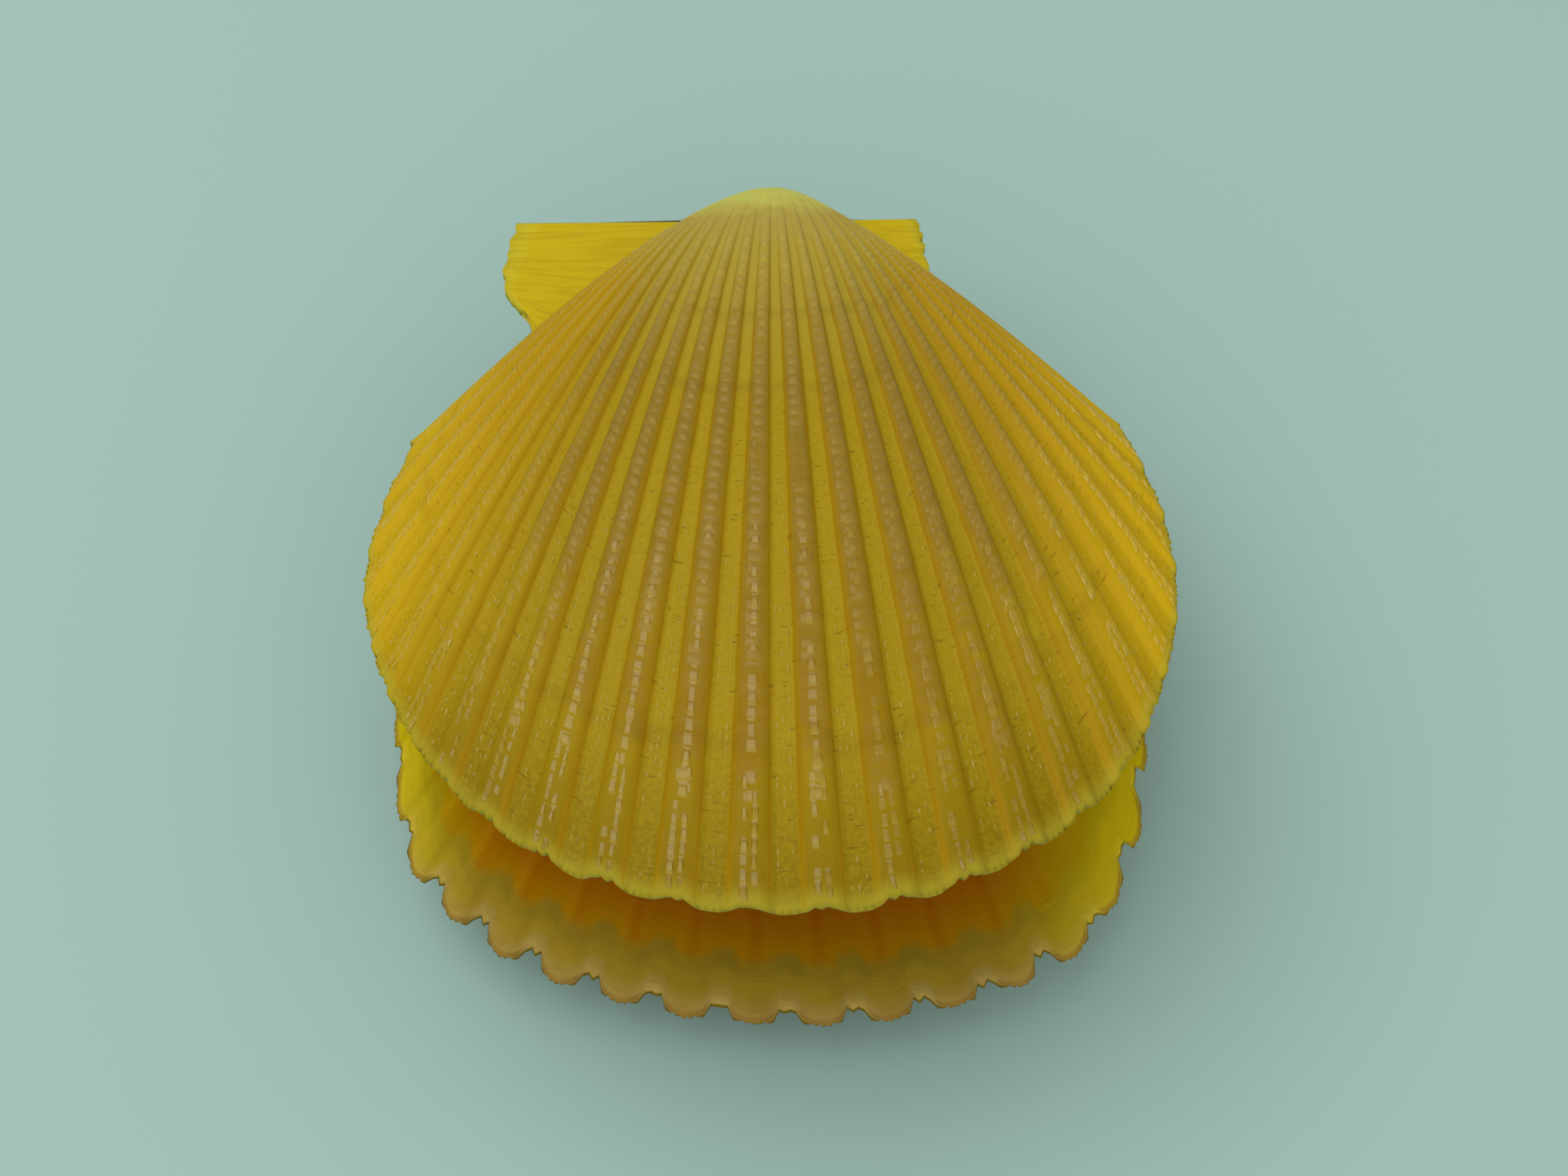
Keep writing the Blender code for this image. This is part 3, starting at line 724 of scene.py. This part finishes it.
def with_marks(node, c, outer, look):
    """Adds this shell's dark hair lines, growth arcs, speck and mended spot to the outside."""
    tone, k, size = look["outside"], c["k"], c["size"]
    hair_at = node("CombineXYZ", {
        0: node("Math", {0: k, 1: 4.5}, operation="MULTIPLY"),
        1: node("Math", {0: size, 1: UMBO_TO_MARGIN_MM / HAIR_MM}, operation="MULTIPLY"),
    })
    hair = node("TexNoise", {"Vector": hair_at, "Scale": 1.0, "Detail": 0.0, "Distortion": 0.9})
    hair = node("MapRange", {"Value": hair, "From Min": 0.73, "From Max": 0.765}, **SOFT)
    at_edge = node("MapRange", {"Value": c["d"], "From Min": 0.22, "From Max": 0.3}, **SOFT)
    old = node("MapRange", {"Value": size, "From Min": 0.42, "From Max": 0.6, "To Max": 0.45},
               **SOFT)
    hair = node("Math", {0: hair, 1: at_edge}, operation="MULTIPLY")
    hair = node("Math", {0: hair, 1: old}, operation="MULTIPLY")
    outer = node("Mix", {0: hair, 6: outer, 7: tone.hair}, **COLOUR_MIX)
    arcs_at = node("Math", {0: c["uneven"], 1: 0.035, 2: size}, operation="MULTIPLY_ADD")
    arcs = node("ValToRGB", {"Fac": arcs_at}, stops=(
        (0.36, 0.0), (0.375, 0.16), (0.39, 0.0), (0.46, 0.0), (0.472, 0.22), (0.485, 0.0),
        (0.83, 0.0), (0.845, 0.2), (0.862, 0.0),
    ))
    seen = node("MapRange", {"Value": c["broad"], "From Min": 0.42, "From Max": 0.6})
    arcs = node("Math", {0: arcs, 1: seen}, operation="MULTIPLY")
    outer = node("Mix", {0: arcs, 6: outer, 7: tone.growth_line}, **COLOUR_MIX)
    for (rib, growth), radius, colour in look["marks"]:
        here = node("CombineXYZ", {
            0: node("Math", {0: k, 1: RIB_STEP_MM}, operation="MULTIPLY"),
            1: node("Math", {0: size, 1: UMBO_TO_MARGIN_MM}, operation="MULTIPLY"),
        })
        centre = (rib * RIB_STEP_MM, growth * UMBO_TO_MARGIN_MM, 0)
        away = node("VectorMath", {0: here, 1: centre}, out="Value", operation="DISTANCE")
        mark = node("MapRange", {"Value": away, "From Min": radius * 0.6, "From Max": radius * 1.2,
                                 "To Min": 0.75, "To Max": 0.0}, **SOFT)
        outer = node("Mix", {0: mark, 6: outer, 7: colour}, **COLOUR_MIX)
    return outer


def ear_colour(node, ear, size, tone):
    """The ears' lemon, brightened by painted light shining through them, orange at the root and
    streaked between their riblets.
    """
    colour = node("ValToRGB", {"Fac": ear}, stops=(
        (0.0, tone.side_gold), (0.2, tone.ear_root), (0.45, tone.ear_lemon_and_light), (0.9, tone.ear_lemon_and_light),
        (1.0, tone.ear_rim),
    ))
    along = node("Math", {0: size, 1: UMBO_TO_MARGIN_MM / STREAK_MM}, operation="MULTIPLY")
    out = node("Math", {0: ear, 1: 3.0}, operation="MULTIPLY")
    streak = node("TexNoise", {"Vector": node("CombineXYZ", {0: along, 1: out}), "Scale": 1.0})
    streak = node("MapRange", {"Value": streak, "From Min": 0.48, "From Max": 0.62, "To Max": 0.35})
    return node("Mix", {0: streak, 6: colour, 7: tone.ear_streak}, **COLOUR_MIX)


def inside_colour(node, c, look):
    """The inside: orange in the depth, gold further out, a dull wavy band at the margin, and lemon
    at the two ends, partly their own colour and partly painted light shining through the thin
    sides.
    """
    tone, k, size, d = look["inside"], c["k"], c["size"], c["d"]
    dip = node("MapRange", {"Value": d, "From Min": 0.1, "From Max": 0.36, "To Max": 0.007}, **SOFT)
    at = node("CombineXYZ", {0: node("Math", {0: k, 1: 5.0}, operation="MULTIPLY")})
    tooth = node("TexNoise", {"Vector": at, "Scale": 1.0, "Detail": 3.0, "Roughness": 0.8})
    tooth = node("Math", {0: tooth, 1: 0.5}, operation="SUBTRACT")
    tooth = node("Math", {0: tooth, 1: 0.02, 2: dip}, operation="MULTIPLY_ADD")
    border = node("Math", {0: tooth, 1: look["band_from"]})
    past = node("Math", {0: size, 1: border}, operation="SUBTRACT")
    band = node("MapRange", {"Value": past, "From Min": -0.012, "From Max": 0.014}, **SOFT)
    deep = node("ValToRGB", {"Fac": size},
                stops=((0.25, tone.hollow), (0.72, tone.deep), (0.83, tone.middle),
                       (0.92, tone.gold)))
    ray = node("MapRange", {"Value": d, "From Min": 0.3, "From Max": 0.5, "To Max": 0.35}, **SOFT)
    deep = node("Mix", {0: ray, 6: deep, 7: tone.ray}, blend_type="MULTIPLY", **COLOUR_MIX)
    dull = node("ValToRGB", {"Fac": size},
                # The band's pale edge is partly its own colour and partly painted light shining
                # through the thin margin.
                stops=((0.9, tone.band), (0.975, tone.band), (0.995, tone.band_edge_and_light)))
    patchy = node("MapRange", {"Value": c["patch"], "From Min": 0.4, "From Max": 0.7,
                               "To Max": 0.4})
    dull = node("Mix", {0: patchy, 6: dull, 7: tone.band_patch}, **COLOUR_MIX)
    # Lemon at the two ends: partly the shell's colour, partly painted light shining through the
    # thin sides.
    beside = node("MapRange", {"Value": c["off"], "From Min": 4.0, "From Max": 7.5}, **SOFT)
    dull = node("Mix", {0: beside, 6: dull, 7: tone.end}, **COLOUR_MIX)
    painted_end_light = node("MapRange", {"Value": size, "From Min": 0.55, "From Max": 0.85, "To Max": 0.7},
                **SOFT)
    painted_end_light = node("Math", {0: beside, 1: painted_end_light}, operation="MULTIPLY")
    deep = node("Mix", {0: painted_end_light, 6: deep, 7: tone.end}, **COLOUR_MIX)
    return node("Mix", {0: band, 6: deep, 7: dull}, **COLOUR_MIX)


def new_material(name):
    """A material, its shader, and the functions that add a node and a link to it."""
    material = bpy.data.materials.new(name)
    material.use_nodes = True
    tree = material.node_tree
    return material, tree.nodes["Principled BSDF"], functools.partial(add, tree), tree.links.new


def satin_calcite(end, look):
    """Grown calcite shell, worn satin by the sea: chalky depth of colour under a faint gloss."""
    material, shader, node, link = new_material("satin_calcite_" + end)
    c = outside_colour(node, look)
    size, tone = c["size"], look["outside"]
    inside = node("Attribute", attribute_name="inside", out="Fac")
    ear = node("Attribute", attribute_name="ear", out="Fac")
    outer = with_marks(node, c, c["outer"], look)
    inner = inside_colour(node, c, look)
    on_lobe = node("MapRange", {"Value": c["d"], "From Min": 0.12, "From Max": 0.25,
                                "To Min": look["rim_in_notch"]}, **SOFT)
    rim, thin_rim = (
        node("Math", {1: on_lobe, 0: node("MapRange", {
            "Value": size, "From Min": low, "From Max": high, "To Max": look["rim_share"],
        }, **SOFT)}, operation="MULTIPLY")
        for low, high in ((look["rim_from"], 0.998), (0.992, 0.999))
    )
    outer = node("Mix", {0: rim, 6: outer, 7: look["inside"].rim}, **COLOUR_MIX)
    on_ear = node("MapRange", {"Value": ear, "From Min": 0.0, "From Max": 0.15}, **SOFT)
    lobe = ear_colour(node, ear, size, tone)
    outer = node("Mix", {0: on_ear, 6: outer, 7: lobe}, **COLOUR_MIX)
    inner = node("Mix", {0: on_ear, 6: inner, 7: lobe}, **COLOUR_MIX)
    inner = node("Mix", {0: thin_rim, 6: inner, 7: look["inside"].rim}, **COLOUR_MIX)
    is_inside = node("MapRange", {"Value": inside, "From Min": 0.35, "From Max": 0.65})
    link(node("Mix", {0: is_inside, 6: outer, 7: inner}, **COLOUR_MIX), shader.inputs["Base Color"])

    rings_at = node("CombineXYZ", {
        0: node("Math", {0: c["k"], 1: 0.8}, operation="MULTIPLY"),
        1: node("Math", {0: size, 1: UMBO_TO_MARGIN_MM / RING_MM}, operation="MULTIPLY"),
    })
    rings = node("TexNoise", {"Vector": rings_at, "Scale": 1.0, "Detail": 2.0})
    height = node("Math", {0: c["grain"], 1: 0.6, 2: rings}, operation="MULTIPLY_ADD")
    link(node("Bump", {"Height": height, "Strength": 0.5, "Distance": RING_DEEP_MM * MM},
              out="Normal"), shader.inputs["Normal"])
    link(node("MapRange", {"Value": c["patch"], "From Min": 0.3, "From Max": 0.7, "To Min": 0.4,
                           "To Max": 0.56}), shader.inputs["Roughness"])
    shader.inputs["Specular IOR Level"].default_value = SHELL_GLOSS
    return material


def raised_calcite(end, look, finish):
    """The same calcite where it stands up: rounded pads are waxy, and scale tips glint; their paler
    tips are partly wear and partly a painted glint.
    """
    tip_and_glint_share, roughness, gloss = RAISED[finish]
    material, shader, node, link = new_material(finish + "_calcite_" + end)
    c = outside_colour(node, look)
    tip = node("Attribute", attribute_name="tip", out="Fac")
    own = node("Attribute", attribute_name="scale", out="Fac")
    # Paler towards each tip: partly wear, partly a painted glint.
    tip_paleness_and_glint = node("MapRange", {"Value": tip, "From Min": 0.25, "From Max": 1.0,
                               "To Max": tip_and_glint_share})
    each = node("MapRange", {"Value": own, "From Min": -1.0, "From Max": 1.0, "To Min": 0.3})
    pale = node("Math", {0: tip_paleness_and_glint, 1: each}, operation="MULTIPLY")
    link(node("Mix", {0: pale, 6: c["outer"], 7: look["outside"].tip}, **COLOUR_MIX),
         shader.inputs["Base Color"])
    shader.inputs["Roughness"].default_value = roughness
    shader.inputs["Specular IOR Level"].default_value = gloss
    return material


def figures(end):
    """The growth figures of one valve, with the relief from the panel in mm."""
    sizes = bpy.context.scene.scallop_sizes
    shared = {"rib": sizes.rib_height / MM, "teeth": sizes.tooth / MM, "ear_step": 0.22,
              "ear_riblet": sizes.ear_riblet / MM}
    if end == "upper":
        return dict(shared, margin=UPPER_MARGIN, spiral=UPPER_SPIRAL, phase=0.0, seed=11, up=1,
                    lobe=sizes.upper_lobe / MM, lobe_level=0.8, edge_thinner=0.5, gape=GAPE_DEG,
                    ear_l=UPPER_EAR_L, ear_r=UPPER_EAR_R)
    return dict(shared, margin=LOWER_MARGIN, spiral=LOWER_SPIRAL, phase=0.5, seed=31, up=-1,
                lobe=sizes.lower_lobe / MM, lobe_level=0.55, edge_thinner=0.7, gape=0.0,
                ear_l=LOWER_EAR_L, ear_r=LOWER_EAR_R)


def look_of(end):
    """What one valve's finishes take: colours, marks, and where its bands and rim begin."""
    scene = bpy.context.scene
    if end == "upper":
        marks = ((SPECK_AT, SPECK_MM, scene.scallop_outside.hair),
                 (MENDED_AT, MENDED_MM, scene.scallop_outside.groove_grain))
        return {"outside": scene.scallop_outside, "inside": scene.scallop_upper_inside,
                "tan_middle": 1.5, "marks": marks, "band_from": 0.915, "rim_from": 0.972,
                "rim_share": 0.6, "rim_in_notch": 1.0}
    return {"outside": scene.scallop_outside, "inside": scene.scallop_lower_inside,
            "tan_middle": 0.0, "marks": (), "band_from": 0.928, "rim_from": 0.993,
            "rim_share": 0.65, "rim_in_notch": 0.2}


SLOTS = {"upper": "golden_shell", "lower": "tan_shell"}


def dress(piece, material):
    """Puts a valve's piece in its finish, on the one body that the shell is."""
    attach(piece, "root")
    piece.data.materials.append(material)


def rib_centres(valve):
    """The places of a valve's ribs, without the half ribs at its two ends."""
    ribs, room = range(math.ceil(FIRST_RIB), math.floor(LAST_RIB) + 2), 0.4
    return [r for r in ribs if FIRST_RIB + room < r - valve["phase"] < LAST_RIB - room]


class SCALLOP_OT_valve_shells(bpy.types.Operator):
    """Builds the two valves as fine ribbed walls over their solids"""

    bl_idname = "scallop.valve_shells"
    bl_label = "Valve shells"

    def execute(self, context):
        for end in SLOTS:
            piece = valve_shell(end + "_shell", figures(end))
            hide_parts(end + "_valve")
            dress(piece, satin_calcite(end, look_of(end)))
        return {"FINISHED"}


class SCALLOP_OT_rib_pads(bpy.types.Operator):
    """Builds the rows of rounded pads along the ribs of the grown half"""

    bl_idname = "scallop.rib_pads"
    bl_label = "Rib pads"

    def execute(self, context):
        sizes = context.scene.scallop_sizes
        rise = sizes.pad_rise / MM
        for end, across, along, pitch in (("upper", 5, 4, 1.0), ("lower", 3, 3, 1.3)):
            valve = figures(end)
            profile = {
                "across": across, "along": along, "seed": 1, "slip": 0.03, "uneven": 0.3,
                "vary": 0.08, "bevel": 1, "tilt": 0.5, "spread": lambda v: 1.0,
                "height": lambda u, v, size: (
                    rise * np.clip(1 - u ** 4, 0, 1) * (0.2 + 0.8 * np.sin(np.pi * v) ** 0.6)
                ),
                "present": lambda size: np.where(size < 0.7, 0.97, 0.97 - (size - 0.7) * 8),
            }
            rows = [(centre, PAD_HALF) for centre in rib_centres(valve)]
            piece = scale_rows(end + "_pads", valve, rows, PAD_REACH,
                               sizes.pad_pitch / MM * pitch, profile)
            dress(piece, raised_calcite(end, look_of(end), "waxy"))
        return {"FINISHED"}


class SCALLOP_OT_rib_scales(bpy.types.Operator):
    """Builds the shiny scales: single on the ribs, in pairs near the margin, fine at the sides"""

    bl_idname = "scallop.rib_scales"
    bl_label = "Rib scales"

    def execute(self, context):
        sizes = context.scene.scallop_sizes
        rise, pitch = sizes.scale_rise / MM, sizes.scale_pitch / MM
        for end in SLOTS:
            valve = figures(end)
            glint = raised_calcite(end, look_of(end), "glinting")
            centres, phase = rib_centres(valve), valve["phase"]
            sides = (FIRST_RIB + SIDE_ROW_IN + phase, LAST_RIB - SIDE_ROW_IN + phase)
            pairs = [c + apart for c in centres for apart in (-PAIR_APART, PAIR_APART)]
            for name, places, half, reach, share in (
                ("_crest_scales", centres, SCALE_HALF, CREST_REACH, 0.85),
                ("_margin_scales", pairs, PAIRED_HALF, PAIR_REACH, 0.8),
                ("_side_scales", sides, SCALE_HALF, SIDE_REACH, 1.0),
            ):
                profile = {
                    "across": 3, "along": 3, "seed": len(name), "slip": 0.08, "uneven": 0.5,
                    "vary": 0.3, "bevel": 0.5, "tilt": 0.9, "spread": lambda v: 0.9 + 0.1 * v,
                    "height": lambda u, v, size: (
                        rise * (1 - u ** 6) * np.sin(np.pi * (0.04 + 0.92 * v)) ** 0.45
                    ),
                    "present": lambda size, share=share: share + 0 * size,
                }
                rows = [(place, half) for place in places]
                piece = scale_rows(end + name, valve, rows, reach, pitch, profile)
                dress(piece, glint)
        return {"FINISHED"}


class SCALLOP_OT_groove_scales(bpy.types.Operator):
    """Builds the rows of fine scales on the riblets in the grooves"""

    bl_idname = "scallop.groove_scales"
    bl_label = "Groove scales"

    def execute(self, context):
        sizes = context.scene.scallop_sizes
        rise, pitch = sizes.groove_rise / MM, sizes.groove_pitch / MM
        profile = {
            "across": 2, "along": 2, "seed": 3, "slip": 0.3, "uneven": 0.8, "vary": 0.3,
            "bevel": 1, "tilt": 0, "spread": lambda v: 0.7 + 0.5 * v,
            "height": lambda u, v, size: rise * (1 - u ** 2) * v,
            "present": lambda size: np.clip((size - 0.5) * 2, 0, 0.6),
        }
        for end, offsets in (("upper", (-RIBLET_STEP, 0.0, RIBLET_STEP)), ("lower", (0.0,))):
            valve = figures(end)
            grooves = [c + 0.5 for c in rib_centres(valve)[:-1]]
            rows = [(groove + offset, GROOVE_HALF) for groove in grooves for offset in offsets]
            piece = scale_rows(end + "_groove_scales", valve, rows, GROOVE_REACH, pitch, profile)
            dress(piece, raised_calcite(end, look_of(end), "glinting"))
        return {"FINISHED"}


class SCALLOP_OT_ligament(bpy.types.Operator):
    """Gives the hinge's dried ligament its finish"""

    bl_idname = "scallop.ligament"
    bl_label = "Ligament"

    def execute(self, context):
        # Dried ligament: a horn-like protein strip, dark brown, with fibres along the hinge.
        horn, shader, node, link = new_material("dried_ligament_horn")
        stretched = node("Mapping", {"Vector": node("TexCoord", out="Object"),
                                     "Scale": [per_mm / MM for per_mm in FIBRE_PER_MM]})
        fibre = node("TexNoise", {"Vector": stretched, "Scale": 1.0, "Detail": 3.0})
        brown = ((0.3, hex_colour(FIBRE_DARK)), (0.7, hex_colour(FIBRE_LIGHT)))
        link(node("ValToRGB", {"Fac": fibre}, stops=brown), shader.inputs["Base Color"])
        link(node("Bump", {"Height": fibre, "Distance": FIBRE_DEEP_MM * MM}, out="Normal"),
             shader.inputs["Normal"])
        shader.inputs["Roughness"].default_value = 0.45
        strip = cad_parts["hinge_ligament"]
        strip.data.materials.clear()
        strip.data.materials.append(horn)
        return {"FINISHED"}


class SCALLOP_OT_stage(bpy.types.Operator):
    """Sets the floor, the soft light and the camera"""

    bl_idname = "scallop.stage"
    bl_label = "Stage"

    def execute(self, context):
        scene, stage = context.scene, context.scene.scallop_stage
        sheet = bmesh.new()
        bmesh.ops.create_grid(sheet, x_segments=1, y_segments=1, size=FLOOR_HALF)
        bmesh.ops.translate(sheet, verts=sheet.verts, vec=(0, 0, -FLOOR_GAP))
        floor = finished("floor", sheet)
        # Matt paper: no gloss, so that the floor stays an even pale tone.
        paper, shader, _, _ = new_material("matt_paper")
        shader.inputs["Base Color"].default_value = stage.floor
        shader.inputs["Roughness"].default_value = 0.9
        shader.inputs["Specular IOR Level"].default_value = 0.1
        floor.data.materials.append(paper)

        scene.view_settings.view_transform = "Standard"
        scene.world = bpy.data.worlds.new("studio")
        scene.world.use_nodes = True
        scene.world.node_tree.nodes["Background"].inputs["Color"].default_value = (1, 1, 1, 1)
        scene.world.node_tree.nodes["Background"].inputs["Strength"].default_value = stage.sky
        for name, place, size, power in (("key", KEY_AT, KEY_SIZE, stage.key),
                                         ("fill", FILL_AT, FILL_SIZE, stage.fill)):
            light = bpy.data.lights.new(name, "AREA")
            light.size, light.energy = size, power
            lamp = bpy.data.objects.new(name, light)
            aim = (-Vector(place)).to_track_quat("-Z", "Y").to_matrix().to_4x4()
            lamp.matrix_world = Matrix.Translation(place) @ aim
            scene.collection.objects.link(lamp)

        lens = bpy.data.cameras.new("view")
        lens.lens, lens.sensor_width, lens.clip_start = LENS_MM, SENSOR_MM, 0.01
        camera = bpy.data.objects.new("view", lens)
        pitch, yaw = math.radians(PITCH_DEG), math.radians(YAW_DEG)
        forward = Vector((
            math.sin(yaw) * math.cos(pitch), math.cos(yaw) * math.cos(pitch), math.sin(pitch),
        ))
        camera.matrix_world = (
            Matrix.Translation(CAMERA_AT)
            @ forward.to_track_quat("-Z", "Y").to_matrix().to_4x4()
            @ Matrix.Rotation(math.radians(ROLL_DEG), 4, "Z")
        )
        scene.collection.objects.link(camera)
        scene.camera = camera
        return {"FINISHED"}


OPERATORS = (
    SCALLOP_OT_stage, SCALLOP_OT_valve_shells, SCALLOP_OT_rib_pads, SCALLOP_OT_rib_scales,
    SCALLOP_OT_groove_scales, SCALLOP_OT_ligament,
)
GROUPS = {
    "scallop_sizes": ScallopSizes, "scallop_outside": OutsideColours,
    "scallop_upper_inside": UpperInsideColours, "scallop_lower_inside": LowerInsideColours,
    "scallop_stage": StageSettings,
}


class SCALLOP_PT_build(bpy.types.Panel):
    """Lists the sizes, colours and steps of the shell"""

    bl_idname = "SCALLOP_PT_build"
    bl_label = "Scallop shell"
    bl_space_type = "VIEW_3D"
    bl_region_type = "UI"
    bl_category = "Scallop"

    def draw(self, context):
        for group, kind in GROUPS.items():
            box = self.layout.box()
            box.label(text=kind.__name__)
            for name in kind.__annotations__:
                box.prop(getattr(context.scene, group), name)
        for operator in OPERATORS:
            self.layout.operator(operator.bl_idname)


def register():
    for kind in (*GROUPS.values(), *OPERATORS, SCALLOP_PT_build):
        bpy.utils.register_class(kind)
    for name, kind in GROUPS.items():
        setattr(bpy.types.Scene, name, PointerProperty(type=kind))


def unregister():
    for name in GROUPS:
        delattr(bpy.types.Scene, name)
    for kind in reversed((*GROUPS.values(), *OPERATORS, SCALLOP_PT_build)):
        bpy.utils.unregister_class(kind)


def main():
    """Registers the add-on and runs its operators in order."""
    register()
    for operator in OPERATORS:
        getattr(bpy.ops.scallop, operator.bl_idname.split(".")[1])()


if __name__ == "__main__":
    main()
